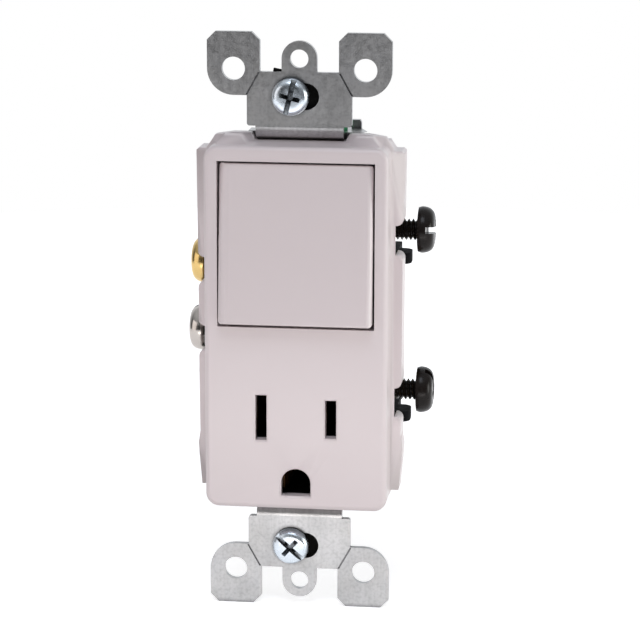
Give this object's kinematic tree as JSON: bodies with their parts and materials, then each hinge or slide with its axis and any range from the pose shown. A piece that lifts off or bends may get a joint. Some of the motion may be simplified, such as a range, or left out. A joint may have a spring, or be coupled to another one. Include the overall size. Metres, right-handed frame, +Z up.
{
  "type": "switch and socket combination",
  "caption": "Rocker switch above a grounded receptacle, on a steel mounting strap with screw terminals at both sides.",
  "frame": {"origin": "halfway between the two box screws, in the plane of the strap's back, which is the wall plane", "axes": "+X to the right seen from the front, +Y into the wall, +Z up; the face looks along -Y"},
  "size_m": [0.0453, 0.0347, 0.1062],
  "materials": {
    "white_plastic": "smooth moulded thermoplastic, slightly glossy",
    "black_plastic": "moulded body with a dull surface",
    "strap_steel": "zinc-plated sheet steel",
    "screw_steel": "bright zinc-plated screws",
    "black_screw": "black-oxide steel",
    "brass": "plain brass sheet and brass-plated screw",
    "nickel": "nickel-plated terminal and screw",
    "green_screw": "green-dyed zinc plating",
    "bronze": "spring bronze clips",
    "silver": "silver contact buttons",
    "fibre": "pressed black fibre board",
    "nylon": "natural nylon",
    "spring_steel": "cold-drawn spring wire"
  },
  "bodies": {
    "device": {"front_cover": "white_plastic", "rear_body": "black_plastic", "mounting_strap": "strap_steel", "fixed_contact": "silver", "line_terminal": "brass", "switch_leg_terminal": "brass", "neutral_terminal": "nickel", "hot_contact": "bronze", "neutral_contact": "bronze", "ground_contact": "bronze", "ground_rivet": "screw_steel", "upper_retaining_washer": "fibre", "lower_retaining_washer": "fibre", "upper_left_assembly_screw": "screw_steel", "upper_right_assembly_screw": "screw_steel", "lower_left_assembly_screw": "screw_steel", "lower_right_assembly_screw": "screw_steel"},
    "rocker": {"rocker": "white_plastic", "toggle_spring": "spring_steel"},
    "plunger": {"plunger": "nylon"},
    "contact_arm": {"contact_arm": "brass", "moving_contact": "silver"},
    "upper_line_screw": {"upper_line_screw": "black_screw"},
    "lower_line_screw": {"lower_line_screw": "black_screw"},
    "switch_leg_screw": {"switch_leg_screw": "brass"},
    "neutral_screw": {"neutral_screw": "nickel"},
    "ground_screw": {"ground_screw": "green_screw"},
    "upper_box_screw": {"upper_box_screw": "screw_steel"},
    "lower_box_screw": {"lower_box_screw": "screw_steel"}
  },
  "joints": [
    {"name": "rocker_hinge", "type": "hinge", "parent": "device", "child": "rocker", "pos_m": [0, -0.00445, 0.01554], "axis": [1, 0, 0], "range_deg": [0, 10.6]},
    {"name": "plunger_stroke", "type": "slide", "parent": "rocker", "child": "plunger", "axis": [0, -0.9957, 0.0924], "range_m": [0, 0.00025], "stiffness_N_per_m": 20, "springref_m": -0.005},
    {"name": "contact_arm_hinge", "type": "hinge", "parent": "device", "child": "contact_arm", "pos_m": [0, 0.00865, 0.01554], "axis": [1, 0, 0], "range_deg": [-16, 0]},
    {"name": "upper_line_screw_travel", "type": "slide", "parent": "device", "child": "upper_line_screw", "axis": [-1, 0, 0], "range_m": [0, 0.0047]},
    {"name": "lower_line_screw_travel", "type": "slide", "parent": "device", "child": "lower_line_screw", "axis": [-1, 0, 0], "range_m": [0, 0.0047]},
    {"name": "switch_leg_screw_travel", "type": "slide", "parent": "device", "child": "switch_leg_screw", "axis": [1, 0, 0], "range_m": [-0.0026, 0.0021]},
    {"name": "neutral_screw_travel", "type": "slide", "parent": "device", "child": "neutral_screw", "axis": [1, 0, 0], "range_m": [-0.0021, 0.0026]},
    {"name": "ground_screw_travel", "type": "slide", "parent": "device", "child": "ground_screw", "axis": [0, 0, 1], "range_m": [0, 0.002]},
    {"name": "upper_box_screw_turn", "type": "hinge", "parent": "device", "child": "upper_box_screw", "pos_m": [-0.0015, 0, 0.04166], "axis": [0, 1, 0], "continuous": true},
    {"name": "lower_box_screw_turn", "type": "hinge", "parent": "device", "child": "lower_box_screw", "pos_m": [-0.0015, 0, -0.04166], "axis": [0, 1, 0], "continuous": true}
  ],
  "couplings": [
    {"joint": "contact_arm_hinge", "follows": "rocker_hinge", "ratio": -1.5094}
  ]
}
